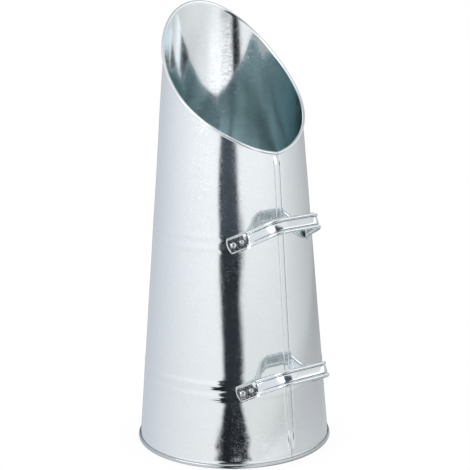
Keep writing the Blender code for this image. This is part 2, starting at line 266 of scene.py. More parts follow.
# Dark slit for the lens: elevation, left edge and right edge, the softness of the edges, and its faint glow
SLIT_EDGES = (
    (-27.0, -17.0, 8.0), (-24.0, -25.0, 16.0), (-18.5, -30.0, 20.0), (-17.2, -17.0, 12.0),
    (-16.4, -16.8, -4.0), (-13.75, -16.8, -4.0), (-13.55, -23.0, 20.0), (-13.35, -23.0, 20.5),
    (-12.9, -18.5, 16.6), (-12.5, -15.4, 14.7), (-11.6, -12.0, 10.6), (-10.9, -9.6, 8.0),
    (-9.7, -12.0, 14.0), (-8.4, -14.0, 12.4), (-7.2, -15.6, 8.6), (-5.5, -17.5, 11.2),
    (-4.6, -18.2, 18.0), (-3.7, -18.6, 15.5), (-3.2, -18.9, 10.5), (-1.0, -19.0, 8.6),
    (-0.2, -18.5, 7.5), (1.5, -13.5, 2.0), (10.0, -13.5, 2.0), (16.0, -24.0, 24.0),
)
SLIT_LEFT_SOFT = 3.0
SLIT_RIGHT_STEPS = (-12.0, -9.0)
SLIT_RIGHT_SOFT = (2.5, 4.0)
SLIT_TOP = (28.0, 36.0)
SLIT_STEPS = (-13.0, -12.4, -11.2, -8.0, -5.0, -3.4, -2.6, -1.9, -1.4)
SLIT_GLOW = (0.8, 0.8, 1.5, 1.3, 1.1, 3.0, 3.6, 2.2, 3.6)

# Dark hood above the slit, and the dark seam of the cloth at the back
HOOD_FOOT = (1.0, 5.0)
HOOD_TOP = (12.0, 17.0)
HOOD_HALF = 16.0
HOOD_POWER = 6
CLOTH_SEAM = (167.0, 172.0)
CLOTH_SEAM_TOP = (26.0, 36.0)

# Floor: its mesh, its drop below the foot, its colour, and the reach and strength of the shadow on it
FLOOR_SIDES = 96
FLOOR_RINGS = 24
FLOOR_EYE = 0.02
FLOOR_DROP = 0.0002
FLOOR_COLOUR = (0.92, 0.92, 0.92, 1.0)
SHADOW_REACH = (0.10, 0.18)
SHADOW_SHARE = 0.07


def length(name, description, default):
    """Return a length property."""
    return bpy.props.FloatProperty(
        name=name, description=description, default=default, min=0.0, precision=5, unit="LENGTH"
    )


def angle(name, description, degrees):
    """Return an angle property."""
    return bpy.props.FloatProperty(
        name=name, description=description, default=math.radians(degrees), subtype="ANGLE"
    )


def share(name, description, default):
    """Return a share, or a factor up to 2."""
    return bpy.props.FloatProperty(
        name=name, description=description, default=default, min=0.0, max=2.0, subtype="FACTOR"
    )


def colour(name, description, default):
    """Return a colour property."""
    return bpy.props.FloatVectorProperty(
        name=name, description=description, default=default, min=0.0, max=1.0, size=3, subtype="COLOR"
    )


class HodWall(bpy.types.PropertyGroup):
    """Sizes of the tapered wall, its mouth, its beads and its wire."""

    sheet: length("Sheet", "Thickness of the wall and base sheet", 0.0006)
    foot_radius: length("Foot radius", "Radius of the wall at the floor, to the middle of the sheet", 0.128)
    lean: angle("Lean", "Lean of the wall toward the axis", 4.574)
    mouth_low: length("Mouth low", "Height of the mouth at the seam", 0.4035)
    mouth_high: length("Mouth high", "Height of the mouth at the lip", 0.5834)
    lip_turn: angle("Lip turn", "Turn of the lip from straight opposite the seam", -4.5)
    wire: length("Wire radius", "Radius of the wire in the rolled mouth", 0.00105)
    bead_height: length("Bead height", "How far the tallest bead stands out from the wall", 0.0009)
    bead_width: length("Bead width", "Width of one bead of a pair", 0.0150)
    upper_height: length("Upper height", "Height of the upper beads and handle", 0.2920)
    lower_height: length("Lower height", "Height of the lower beads and handle", 0.1010)
    uneven: length("Unevenness", "Depth of the slow waves in the worked sheet", 0.00005)


class HodHandle(bpy.types.PropertyGroup):
    """Sizes of a strap handle and its rivets."""

    strap: length("Strap", "Thickness of the strap", 0.0009)
    width: length("Width", "Width of the curled strap", 0.0205)
    curl: length("Curl radius", "Radius of the curled edges, to the middle of the strap", 0.0019)
    panel: length("Panel rise", "Rise of the grip panel between the curls", 0.0021)
    tab_outer: length("Tab outer", "Length of a tab outward from the middle of its rivets", 0.0113)
    tab_inner: length("Tab inner", "Length of a tab inward from the middle of its rivets", 0.0165)
    tab_width: length("Tab width", "Width of the tab on the wall", 0.0205)
    reach: length("Reach", "Distance from the tabs out to the grip", 0.0515)
    rise: length("Rise", "Rise of the grip above the tabs", 0.0277)
    half: length("Half grip", "Half the length of the grip between its corners", 0.0345)
    rivet_pitch: length("Rivet pitch", "Distance between the two rivets of a tab", 0.0113)
    outer_head: length("Outer head", "Head radius of the outer rivets", 0.0037)
    inner_head: length("Inner head", "Head radius of the inner rivets", 0.0029)


class HodFinish(bpy.types.PropertyGroup):
    """Colours and roughness of the zinc."""

    wall_colour: colour("Wall", "Colour of the galvanised wall", (0.835, 0.885, 0.892))
    # The base's colour is darker than the wall's as painted shade: it stands in for a darker reflection and
    # shadow on the foot seam.
    base_painted_shade_colour: colour("Base", "Colour of the galvanised base", (0.590, 0.623, 0.629))
    strap_colour: colour("Strap", "Colour of the galvanised strap", (0.834, 0.880, 0.886))
    wire_colour: colour("Wire", "Colour of the wire in the mouth", (0.660, 0.690, 0.705))
    rivet_colour: colour("Rivet", "Colour of the plated rivets", (0.780, 0.810, 0.820))
    strap_reverse: share("Strap reverse", "Factor on the colour of the back of the straps", 1.00)
    roughness: share("Roughness", "Roughness of clean zinc", 0.060)
    inside: share("Inside", "Added roughness of the unpolished inside of the wall", 0.030)
    # Painted light: the inside of the wall is made lighter than the outside, so that the interior reads
    # brighter.
    inside_painted_light: share("Inside tone", "Factor on the colour of the inside of the wall", 1.055)
    spangle: length("Spangle", "Width of the zinc crystals", 0.0026)


class HodStudio(bpy.types.PropertyGroup):
    """Camera and light tent."""

    lens: bpy.props.FloatProperty(
        name="Lens", description="Focal length on a 36 mm sensor", default=106.35, unit="CAMERA"
    )
    tent_radius: length("Tent radius", "Radius of the light tent", 30.0)
    left_front: share("Left front", "Glow of the tent left of the lens", 0.940)
    left_back: share("Left back", "Glow of the tent at the back left", 0.607)
    right_front: share("Right front", "Glow of the tent right of the lens", 0.896)
    right_back: share("Right back", "Glow of the tent at the back right", 0.463)
    slit: share("Slit", "Glow inside the dark slit for the lens", 0.024)
    lamp: share("Lamps", "Extra glow of the lamps at both sides, above the hood", 1.5)
    floor_radius: length("Floor radius", "Radius of the pale floor", 0.60)


def smooth_step(low, high, value):
    """Return 0 below low, 1 above high and the cubic 3s^2 - 2s^3 between them."""
    part = np.clip((np.asarray(value, float) - low) / (high - low), 0.0, 1.0)
    return part * part * (3.0 - 2.0 * part)


def unit(vector):
    """Return vectors of length one."""
    return vector / np.linalg.norm(vector, axis=-1, keepdims=True)


def radial(turn):
    """Return the outward direction at an angle from the seam: sine along X, minus cosine along Y."""
    turn = np.asarray(turn, float)
    return np.stack([np.sin(turn), -np.cos(turn), np.zeros_like(turn)], axis=-1)


def tangent(turn):
    """Return the direction of growing angle: cosine along X, sine along Y."""
    turn = np.asarray(turn, float)
    return np.stack([np.cos(turn), np.sin(turn), np.zeros_like(turn)], axis=-1)


def polar(radius, turn, height):
    """Return points at a radius, an angle from the seam and a height."""
    points = radial(turn) * np.asarray(radius, float)[..., None]
    points[..., 2] = height
    return points


def on_ring(turn):
    """Return angles held within one turn, just short of the far side of the seam."""
    return np.clip(np.asarray(turn, float), 0.0, LAST_ANGLE)


def from_seam(turn):
    """Return the angle to the seam, the shorter way round."""
    return np.minimum(np.abs(turn), np.abs(FULL_TURN - turn))


def band(rise, fall, value):
    """Return 1 between two soft edges: a smooth step up over the rise times one down over the fall."""
    return smooth_step(*rise, value) * (1 - smooth_step(*fall, value))


def divided(stops, counts):
    """Return points from the first stop to just before the last, each stretch cut into its count of steps."""
    stretches = zip(stops, stops[1:], counts)
    return np.concatenate([np.linspace(low, high, count, endpoint=False) for low, high, count in stretches])


def path_run(points):
    """Return the length along a path at each of its points."""
    return np.concatenate([[0.0], np.cumsum(np.linalg.norm(np.diff(points, axis=0), axis=1))])


def grid_quads(rows, columns, present=None, closed=False):
    """Return the quads of a grid of points in row order, only where all four corners are present."""
    index = np.arange(rows * columns).reshape(rows, columns)
    other = np.roll(index, -1, axis=1)
    if not closed:
        index, other = index[:, :-1], other[:, :-1]
    quads = np.stack([index[:-1], other[:-1], other[1:], index[1:]], axis=-1).reshape(-1, 4)
    if present is not None:
        quads = quads[np.asarray(present).reshape(-1)[quads].all(axis=1)]
    return quads


def turned_faces(rows, columns):
    """Return the quads of stacked rings, and fans to two poles whose points follow the rings."""
    ring = np.arange(columns)
    after = np.roll(ring, -1)
    pole = np.full(columns, rows * columns)
    last = (rows - 1) * columns
    first_fan = np.stack([pole, after, ring], axis=1)
    last_fan = np.stack([pole + 1, ring + last, after + last], axis=1)
    return grid_quads(rows, columns, closed=True).tolist() + first_fan.tolist() + last_fan.tolist()


def new_object(name, points, faces, material):
    """Add a mesh object with its place in its mesh."""
    mesh = bpy.data.meshes.new(name)
    mesh.from_pydata(np.asarray(points).tolist(), [], [list(map(int, face)) for face in faces])
    mesh.materials.append(material)
    item = bpy.data.objects.new(name, mesh)
    bpy.context.scene.collection.objects.link(item)
    return item


def shade(item):
    """Shade a piece smooth, with crisp edges only where its faces turn sharply."""
    mesh = item.data
    mesh.polygons.foreach_set("use_smooth", np.ones(len(mesh.polygons), bool))
    mesh.set_sharp_from_angle(angle=CRISP)
    mesh.update()


def sheet_object(name, points, quads, thickness, material, uv=None):
    """Add a piece of sheet metal: a middle surface with half the thickness to each side."""
    used, quads = np.unique(quads, return_inverse=True)
    quads = quads.reshape(-1, 4)
    item = new_object(name, np.asarray(points)[used], quads, material)
    if uv is not None:
        layer = item.data.uv_layers.new(name="Along")
        layer.data.foreach_set("uv", np.asarray(uv)[used][quads.reshape(-1)].reshape(-1))
    solid = item.modifiers.new("Sheet", "SOLIDIFY")
    solid.thickness = thickness
    solid.offset = 0.0
    solid.use_even_offset = True
    solid.use_quality_normals = True
    middle = item.data
    item.data = bpy.data.meshes.new_from_object(item.evaluated_get(bpy.context.evaluated_depsgraph_get()))
    item.data.name = name
    item.modifiers.clear()
    bpy.data.meshes.remove(middle)
    mark_inner(item.data)
    shade(item)
    return item


def mark_inner(mesh):
    """Mark the side of a sheet that faces the axis: the half of its points with the lesser mean radius."""
    points = np.empty(3 * len(mesh.vertices))
    mesh.vertices.foreach_get("co", points)
    radius = np.hypot(points[0::3], points[1::3]).reshape(2, -1)
    inner = np.repeat(radius.mean(axis=1) == radius.mean(axis=1).min(), radius.shape[1])
    attribute = mesh.attributes.new("inner", "FLOAT", "POINT")
    attribute.data.foreach_set("value", inner.astype(np.float32))


def place(item, node):
    """Hand a finished piece to the frame: it stands for a solid, which is hidden, and rides on the hod."""
    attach(item, "root")
    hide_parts(node)


# Wall


def wall_radius(wall, height):
    """Return the radius of the sheet's middle: the foot radius less the height times the lean's tangent."""
    return wall.foot_radius - math.tan(wall.lean) * np.asarray(height, float)


def mouth_height(wall, turn):
    """Return the height of the mouth: half a cosine from seam to lip on each side, plus three sine terms."""
    turn = np.mod(np.asarray(turn, float), FULL_TURN)
    lip = math.pi + wall.lip_turn
    part = math.pi * np.where(turn <= lip, turn / lip, (FULL_TURN - turn) / (FULL_TURN - lip))
    rise = (1 - np.cos(part)) / 2
    for count, amount in enumerate(MOUTH_SHAPE, start=1):
        rise = rise + amount * np.sin(count * part)
    return wall.mouth_low + (wall.mouth_high - wall.mouth_low) * rise


def roll_radius(wall):
    """Return the radius of the rolled edge, to the middle of the sheet."""
    return wall.wire + CLEARANCE + wall.sheet / 2


def mouth_frame(wall, turn):
    """Return the start of the rolled edge, its outward direction and its direction across the edge.

    The direction across is upright, tilted by the slope of the mouth, and squared up close to the seam.
    """
    turn = on_ring(turn)
    height = mouth_height(wall, turn) - roll_radius(wall)
    radius = wall_radius(wall, height)
    low = on_ring(turn - MOUTH_SLOPE_STEP)
    high = on_ring(turn + MOUTH_SLOPE_STEP)
    slope = np.arctan2(mouth_height(wall, high) - mouth_height(wall, low), radius * (high - low))
    slope = slope * smooth_step(0.0, ROLL_SQUARE, radius * from_seam(turn))
    across = -np.sin(slope)[..., None] * tangent(turn)
    across[..., 2] = np.cos(slope)
    return polar(radius, turn, height), radial(turn), across


def bead_swell(wall, turn, height):
    """Return how far the wall stands out at its two pairs of beads: a squared sine across each bead.

    The beads are pressed nearly flat on both sides of the seam, where the handles sit.
    """
    height = np.asarray(height, float)
    swell = np.zeros_like(height)
    for middle, shares in ((wall.lower_height, LOWER_BEADS), (wall.upper_height, UPPER_BEADS)):
        part = (height - middle) / wall.bead_width
        tall = wall.bead_height * np.where(part < 0, *shares)
        swell = swell + np.where(np.abs(part) < 1.0, tall * np.sin(math.pi * part) ** 2, 0.0)
    return swell * (BEAD_LEFT + (1 - BEAD_LEFT) * smooth_step(*BEAD_ENDS, from_seam(turn)))


def wall_waves(wall, turn, height):
    """Return the slow waves of worked sheet: three products of sines and a sine, none at the foot or seam."""
    waves = np.sin(3 * turn + 19 * height) * np.sin(31 * height + 0.7)
    waves = waves + 0.7 * np.sin(7 * turn - 41 * height + 1.3) * np.sin(5 * turn + 2.1)
    waves = waves + 0.5 * np.sin(13 * turn + 23 * height + 0.4) * np.sin(67 * height + 2.9)
    waves = waves + 0.3 * np.sin(21 * turn - 57 * height + 2.2)
    still = smooth_step(*WAVE_FOOT, height) * smooth_step(*WAVE_SEAM, from_seam(turn))
    return wall.uneven * waves * still


def wall_columns(wall):
    """Return base angle, arc, depth and hook flag of every column of the sheet, from hook to hook.

    A half-round fold is its centre plus one layer times the sine, beside it, and the cosine, out from the
    wall. The lock has four layers, at -1.5 to 1.5 from its middle, and is let into the wall by half its
    depth, down one smooth ramp on each side.
    """
    layer = wall.sheet + SEAM_GAP
    tongue = SEAM_HALF - wall.sheet / 2
    jog = SEAM_HALF + SEAM_JOG_LAYERS * layer
    half_turn = np.linspace(0.0, math.pi, SEAM_FOLD_STEPS)
    step = np.linspace(0.0, 1.0, SEAM_JOG_STEPS)
    ramp = smooth_step(0, 1, step)
    ring = np.linspace(SEAM_CLEAR_ANGLE, FULL_TURN - SEAM_CLEAR_ANGLE, WALL_COLUMNS)
    stretches = [
        (0.0, [tongue], 0.5, True),
        (0.0, -SEAM_HALF - layer * np.sin(half_turn), np.cos(half_turn) - 0.5, True),
        (0.0, [SEAM_SLIT, SEAM_HALF], -1.5, False),
        (0.0, jog + SEAM_JOG_RUN * step, -1.5 * (1 - ramp), False),
        (ring, 0.0, 0.0, False),
        (FULL_TURN, -jog - SEAM_JOG_RUN * (1 - step), 1.5 * ramp, False),
        (FULL_TURN, [-SEAM_HALF, -SEAM_SLIT], 1.5, False),
        (FULL_TURN, SEAM_HALF + layer * np.sin(half_turn), 0.5 + np.cos(half_turn), True),
        (FULL_TURN, [-tongue], -0.5, True),
    ]
    columns = zip(*[np.broadcast_arrays(*stretch) for stretch in stretches])
    base, arc, layers, hook = [np.concatenate(parts) for parts in columns]
    return base, arc, layers * layer, hook


def fold_sizes(wall):
    """Return the pitch of the layers in the foot seam, and the height of its bend and of its top."""
    pitch = wall.sheet + CLEARANCE
    bend = wall.sheet / 2 + 2 * pitch
    return pitch, bend, bend + FOLD_HEIGHT


def wall_rows(wall):
    """Return height and lock of the rows from the foot to the top of the upper beads."""
    _, bend, _ = fold_sizes(wall)
    low, high, width = wall.lower_height, wall.upper_height, wall.bead_width
    beads = [low - width, low + width, high - width, high + width]
    stops = [bend, SEAM_BOTTOM - SEAM_FADE, SEAM_BOTTOM, *beads]
    counts = [FOOT_ROWS, FOOT_ROWS, PLAIN_ROWS // 2, BEAD_ROWS, PLAIN_ROWS, BEAD_ROWS]
    heights = np.append(divided(stops, counts), stops[-1])
    return heights, smooth_step(SEAM_BOTTOM - SEAM_FADE, SEAM_BOTTOM, heights)


def wall_crown(way, edge_height):
    """Return the swell of the high back: a smooth step to a peak, times 1 - the square of the way past."""
    past = np.clip((way - CROWN_PEAK) / (1 - CROWN_PEAK), 0.0, 1.0)
    crown = CROWN * smooth_step(CROWN_START, CROWN_PEAK, way) * (1 - past ** 2)
    return crown[:, None] * smooth_step(*CROWN_BACK, edge_height)[None, :]


def foot_flange(wall, turn):
    """Return the flange at the foot, from its top: straight down outside the wall, then half a circle in."""
    pitch, bend, top = fold_sizes(wall)
    bow = np.linspace(0.0, math.pi, FOLD_STEPS)[:-1]
    out = np.concatenate([[2 * pitch], pitch + pitch * np.cos(bow)])
    height = np.concatenate([[top], bend - pitch * np.sin(bow)])
    radius = wall_radius(wall, height) + out
    return polar(np.repeat(radius[:, None], len(turn), axis=1), turn, height[:, None])


def wall_grid(wall):
    """Return the points of the wall's middle surface and which of them are present.

    Every row is the cone's radius plus the beads, a flare above the foot seam, the crown, the waves and the
    lock's layers, which fade out at both ends of the seam. Rows up to the top of the upper beads are level,
    rows above them divide the way to the mouth, and the last ones follow the roll: the start of the edge plus
    the roll's radius times (1 - cosine) outward and sine across.
    """
    base, arc, depth, hook = wall_columns(wall)
    pitch, bend, top = fold_sizes(wall)
    level, level_lock = wall_rows(wall)
    wide = np.linspace(0, WIDE_ROWS, PLAIN_ROWS)[1:]
    upper = np.concatenate([wide, np.linspace(WIDE_ROWS, 1, MOUTH_ROWS)[1:]])
    mouth_turn = on_ring(base + arc / wall_radius(wall, wall.mouth_low))
    edge_height = mouth_height(wall, mouth_turn) - roll_radius(wall)
    start = level[-1]
    height = np.concatenate([
        np.repeat(level[:, None], len(base), axis=1),
        start + upper[:, None] * (edge_height - start)[None, :],
    ])
    lock = np.concatenate([level_lock, 1 - smooth_step(*SEAM_ENDS, upper)])
    crown = wall_crown(np.concatenate([np.zeros(len(level)), upper]), edge_height)
    radius = wall_radius(wall, height)
    turn = base + arc / radius
    flare = FOOT_FLARE * (1 - smooth_step(top + pitch, FOOT_FLARE_TOP, height))
    flare = flare * smooth_step(bend, top, height)
    offset = bead_swell(wall, turn, height) + flare + crown + lock[:, None] * depth
    offset[:-1] = offset[:-1] + wall_waves(wall, turn, height)[:-1]
    points = polar(radius + offset, turn, height)
    flange = foot_flange(wall, base + arc / wall.foot_radius)
    edge, out, across = mouth_frame(wall, mouth_turn)
    bow = np.linspace(0.0, ROLL_ARC, ROLL_STEPS + 1)[1:, None, None]
    roll = edge + roll_radius(wall) * ((1 - np.cos(bow)) * out + np.sin(bow) * across)
    locked = np.concatenate([np.zeros(len(flange)), lock, np.zeros(ROLL_STEPS)]) > FULL_LOCK
    present = locked[:, None] | ~hook[None, :]
    return np.concatenate([flange, points, roll]), present


class HOD_OT_wall(bpy.types.Operator):
    """Build the wall sheet with its lock seam, beads, rolled mouth and foot flange"""

    bl_idname = "hod.wall"
    bl_label = "Wall"

    def execute(self, context):
        wall = context.scene.hod_wall
        points, present = wall_grid(wall)
        rows, columns = present.shape
        quads = grid_quads(rows, columns, present)
        item = sheet_object("hod_wall", points.reshape(-1, 3), quads, wall.sheet, wall_zinc(context))
        place(item, "body_shell")
        return {"FINISHED"}


class HOD_OT_wire(bpy.types.Operator):
    """Build the wire inside the rolled mouth: a circle carried along the middle of the roll"""

    bl_idname = "hod.wire"
    bl_label = "Wire"

    def execute(self, context):
        wall = context.scene.hod_wall
        gap = SEAM_SLIT / wall_radius(wall, wall.mouth_low)
        turn = np.linspace(gap, FULL_TURN - gap, WIRE_STATIONS)
        edge, out, across = mouth_frame(wall, turn)
        bow = np.linspace(0.0, FULL_TURN, WIRE_SIDES, endpoint=False)[:, None]
        ring = np.cos(bow) * out[:, None] - np.sin(bow) * across[:, None]
        points = (edge + roll_radius(wall) * out)[:, None] + wall.wire * ring
        first_end = np.arange(WIRE_SIDES)
        last_end = first_end + WIRE_SIDES * (WIRE_STATIONS - 1)
        faces = grid_quads(WIRE_STATIONS, WIRE_SIDES, closed=True).tolist()
        faces += [first_end[::-1].tolist(), last_end.tolist()]
        item = new_object("hod_wire", points.reshape(-1, 3), faces, wire_zinc(context))
        shade(item)
        place(item, "rim_wire")
        return {"FINISHED"}


# Base


def sheet_outline(line, thickness):
    """Return both sides of a folded sheet as one line: its middle moved half a thickness each way, mitred."""
    along = unit(np.diff(line, axis=0))
    side = np.stack([-along[:, 1], along[:, 0]], axis=1)
    mitre = np.concatenate([side[:1], side]) + np.concatenate([side, side[-1:]])
    mitre = mitre * thickness / np.sum(mitre ** 2, axis=1, keepdims=True)
    return np.concatenate([line - mitre, (line + mitre)[::-1]])


def base_line(wall):
    """Return the base's middle line as radius and height, from the axis to the hidden end of its edge.

    The panel is a shallow dome. The edge turns down, under the wall, up outside it and down into its flange:
    arcs whose centres lie on the layers of the foot seam.
    """
    pitch, bend, top = fold_sizes(wall)
    corner = np.linspace(0.0, math.pi / 2, BASE_CORNER_STEPS)
    under = np.linspace(0.0, math.pi, 2 * FOLD_STEPS)
    over = np.linspace(0.0, math.pi, FOLD_STEPS)
    edge = [
        np.stack([-pitch - BASE_CORNER + BASE_CORNER * np.sin(corner),
                  BASE_RECESS - BASE_CORNER + BASE_CORNER * np.cos(corner)], axis=1),
        np.stack([pitch - 2 * pitch * np.cos(under), bend - 2 * pitch * np.sin(under)], axis=1),
        np.stack([2 * pitch + pitch * np.cos(over), top + pitch * np.sin(over)], axis=1),
        np.array([[pitch, bend + 2 * CLEARANCE]]),
    ]
    edge = np.concatenate(edge)
    edge[:, 0] += wall_radius(wall, edge[:, 1])
    radius = np.linspace(BASE_EYE, edge[0, 0], BASE_RINGS, endpoint=False)
    dome = BASE_RECESS + BASE_CROWN * (1 - (radius / edge[0, 0]) ** 2) ** 2
    return np.concatenate([np.stack([radius, dome], axis=1), edge])


class HOD_OT_base(bpy.types.Operator):
    """Build the base: the outline of its folded sheet turned about the axis, closed at both poles"""

    bl_idname = "hod.base"
    bl_label = "Base"

    def execute(self, context):
        wall = context.scene.hod_wall
        outline = sheet_outline(base_line(wall), wall.sheet)
        outline[:, 1] -= outline[:, 1].min()
        turn = np.linspace(0.0, FULL_TURN, BASE_COLUMNS, endpoint=False)
        rings = polar(np.repeat(outline[:, :1], BASE_COLUMNS, axis=1), turn, outline[:, 1:])
        poles = [(0.0, 0.0, outline[0, 1]), (0.0, 0.0, outline[-1, 1])]
        points = np.concatenate([rings.reshape(-1, 3), poles])
        item = new_object("hod_base", points, turned_faces(len(outline), BASE_COLUMNS), base_zinc(context))
        shade(item)
        place(item, "base_disc")
        return {"FINISHED"}


# Handles


def handle_heights(wall):
    """Return the name and the height of each handle."""
    return (("upper", wall.upper_height), ("lower", wall.lower_height))


def tab_stand(wall, handle, height):
    """Return the angle of a left tab's middle, and its distance from the bare wall.

    The distance clears the bead, the sheet and a fit, and lets the flat tab turn on the round wall.
    """
    stand = wall.bead_height + wall.sheet / 2 + CLEARANCE + handle.strap / 2
    radius = float(wall_radius(wall, height))
    middle = -math.asin(TAB_SIDE / (radius + stand))
    return middle, stand + radius * (1 - math.cos(middle - TAB_FACING))


def tab_place(wall, handle, height, along, stand):
    """Return point and outward normal on a left tab, at a length along it from the middle of its rivets.

    A tab is a flat plate that leans with the wall and faces a set angle from the seam.
    """
    along = np.asarray(along, float)
    middle, _ = tab_stand(wall, handle, height)
    side = tangent(TAB_FACING)
    normal = radial(TAB_FACING)
    normal[2] = math.tan(wall.lean)
    normal = unit(normal)
    direction = math.cos(TAB_SLOPE) * side + math.sin(TAB_SLOPE) * np.cross(normal, side)
    point = polar(wall_radius(wall, height), middle, height) + stand * normal + along[..., None] * direction
    return point, np.broadcast_to(normal, point.shape)


def round_corner(corner, before, after, radius):
    """Return an arc that rounds a corner: start plus radius times sine along and 1 - cosine inward."""
    turn = math.acos(float(np.dot(before, after)))
    inward = unit(after - before * np.dot(before, after))
    start = corner - before * radius * math.tan(turn / 2)
    bow = np.linspace(0.0, turn, BEND_STEPS + 1)[:, None]
    return start + radius * (np.sin(bow) * before + (1 - np.cos(bow)) * inward)


def between(first, last, count):
    """Return evenly spaced points strictly between two points."""
    part = np.linspace(0.0, 1.0, count + 2)[1:-1, None]
    return first + part * (last - first)


def strap_path(wall, handle, height):
    """Return points, across directions and curl share along the strap, from the left tab to the right one.

    A tab is a flat plate, an arc turns it into the straight flank, and a second arc into the straight grip.
    Over the first arc the strap twists from the tab's slope to the plane of the bow.
    """
    _, stand = tab_stand(wall, handle, height)
    reach = math.sqrt((wall_radius(wall, height) + stand) ** 2 - TAB_SIDE ** 2) + handle.reach
    ends, _ = tab_place(wall, handle, height, [0.0, handle.tab_inner], stand)
    root = ends[1]
    corner = np.array([-handle.half, -reach, height + handle.rise])
    flank = unit(corner - root)
    grip = np.array([1.0, 0.0, 0.0])
    root_arc = round_corner(root, unit(ends[1] - ends[0]), flank, ROOT_BEND)
    grip_arc = round_corner(corner, flank, grip, GRIP_BEND)
    trim = np.linalg.norm(root - root_arc[0])
    stations = np.linspace(-handle.tab_outer, handle.tab_inner - trim, TAB_STATIONS)
    tab, normal = tab_place(wall, handle, height, stations, stand)
    tab_up = np.cross(normal, unit(np.gradient(tab, axis=0)))
    bow_up = unit(np.cross(grip, flank))
    bow_up = bow_up * np.sign(bow_up[2])
    middle = np.array([0.0, corner[1], corner[2]])
    half = np.concatenate([
        tab[:-1],
        root_arc,
        between(root_arc[-1], grip_arc[0], RUN_STATIONS),
        grip_arc,
        between(grip_arc[-1], middle, RUN_STATIONS),
        middle[None],
    ])
    count = TAB_STATIONS - 1
    run = path_run(half)
    past_tab = run - run[count]
    step = (run[count + BEND_STEPS] - run[count]) / 2
    curl = smooth_step(step - ROOT_STEP, step + ROOT_STEP, past_tab)
    twist = np.clip((past_tab + ROOT_TWIST) / (2 * step + ROOT_TWIST), 0.0, 1.0)[:, None]
    up_start = np.concatenate([tab_up[:-1], np.repeat(tab_up[-1:], len(half) - count, axis=0)])
    up = (1 - twist) * up_start + twist * bow_up
    points = np.concatenate([half, half[-2::-1] * MIRROR])
    ups = np.concatenate([up, up[-2::-1] * MIRROR])
    return points, ups, np.concatenate([curl, curl[-2::-1]])


def strap_section(handle, curl):
    """Return across and rise of the whole section at every station, from edge to edge.

    With no curl it is a flat tab with short upturned edges. With full curl it has a raised, slightly crowned
    panel, a slope down to a groove and an edge rolled about a circle. Corners are softened by averaging each
    point with its neighbours.
    """
    curl = curl[:, None]
    rise = handle.panel * curl
    full_centre = handle.width / 2 - handle.curl - handle.strap / 2
    centre = full_centre - (1 - curl) * (handle.width - handle.tab_width) / 2
    panel = (full_centre - handle.curl - handle.strap - PANEL_GAP) * centre / full_centre
    stops = [
        (0 * centre, rise),
        (panel, rise),
        (panel + PANEL_SIDE, PANEL_KNEE * rise),
        (centre - handle.curl / 2, 0 * rise),
        (centre, 0 * rise),
    ]
    across, out = [], []
    for (side, height), (next_side, next_height), count in zip(stops, stops[1:], SECTION_POINTS):
        part = np.linspace(0.0, 1.0, count, endpoint=False)
        across.append(side + part * (next_side - side))
        out.append(height + part * (next_height - height))
    turn = CURL_FLANGE + (CURL_OPEN - CURL_FLANGE) * curl + math.pi / 2
    bow = np.linspace(0, 1, CURL_POINTS) * turn - math.pi / 2
    across.append(centre + handle.curl * np.cos(bow))
    out.append(handle.curl * (1 + np.sin(bow)))
    across, out = np.concatenate(across, axis=1), np.concatenate(out, axis=1)
    out = out + PANEL_CROWN * curl * np.clip(1 - (across / panel) ** 2, 0.0, None)
    across = np.concatenate([-across[:, :0:-1], across], axis=1)
    out = np.concatenate([out[:, :0:-1], out], axis=1)
    for _ in range(SECTION_PASSES):
        across[:, 1:-1] = (across[:, :-2] + 2 * across[:, 1:-1] + across[:, 2:]) / 4
        out[:, 1:-1] = (out[:, :-2] + 2 * out[:, 1:-1] + out[:, 2:]) / 4
    return across, out


def strap_grid(wall, handle, height):
    """Return points of a strap, a section carried along its path, with lengths from the near end and across.

    Each end is drawn out by 1 - (across / half width)^2. It bows toward the wall and its lip lifts off
    again, by the square of the nearness to the end.
    """
    path, ups, curl = strap_path(wall, handle, height)
    along = unit(np.gradient(path, axis=0))
    up = unit(ups - along * np.sum(along * ups, axis=1, keepdims=True))
    out = np.cross(along, up)
    across, rise = strap_section(handle, curl)
    run = path_run(path)
    start = np.clip(1 - run / TAB_BULGE_RUN, 0.0, 1.0) ** 2
    finish = np.clip(1 - (run[-1] - run) / TAB_BULGE_RUN, 0.0, 1.0) ** 2
    bulge = (finish - start)[:, None] * TAB_BULGE * (1 - (2 * across / handle.width) ** 2)
    end = np.minimum(run, run[-1] - run)
    near = np.clip(1 - end / TAB_LIP_RUN, 0.0, 1.0) ** 2
    bow = np.clip(1 - end / TAB_BOW_RUN, 0.0, 1.0) ** 2
    rise = rise + (TAB_LIP * near - TAB_BOW * bow)[:, None]
    points = path[:, None] + across[..., None] * up[:, None] + rise[..., None] * out[:, None]
    points = points + bulge[..., None] * along[:, None]
    uv = np.stack([np.repeat(end[:, None], across.shape[1], axis=1), across], axis=-1)
    return points, uv


class HOD_OT_handles(bpy.types.Operator):
    """Build the two strap handles"""

    bl_idname = "hod.handles"
    bl_label = "Handles"

    def execute(self, context):
        wall, handle = context.scene.hod_wall, context.scene.hod_handle
        material = strap_zinc(context)
        for key, height in handle_heights(wall):
            points, uv = strap_grid(wall, handle, height)
            quads = grid_quads(*points.shape[:2])
            points, uv = points.reshape(-1, 3), uv.reshape(-1, 2)
            item = sheet_object("hod_" + key + "_handle", points, quads, handle.strap, material, uv)
            place(item, key + "_handle")
        return {"FINISHED"}


# Rivets


def cut_corners(line, passes):
    """Return a line with corners cut at a quarter and three quarters of each stretch, and its ends kept."""
    for _ in range(passes):
        low = 0.75 * line[:-1] + 0.25 * line[1:]
        high = 0.25 * line[:-1] + 0.75 * line[1:]
        cut = np.stack([low, high], axis=1).reshape(-1, 2)
        line = np.concatenate([line[:1], cut[1:-1], line[-1:]])
    return line


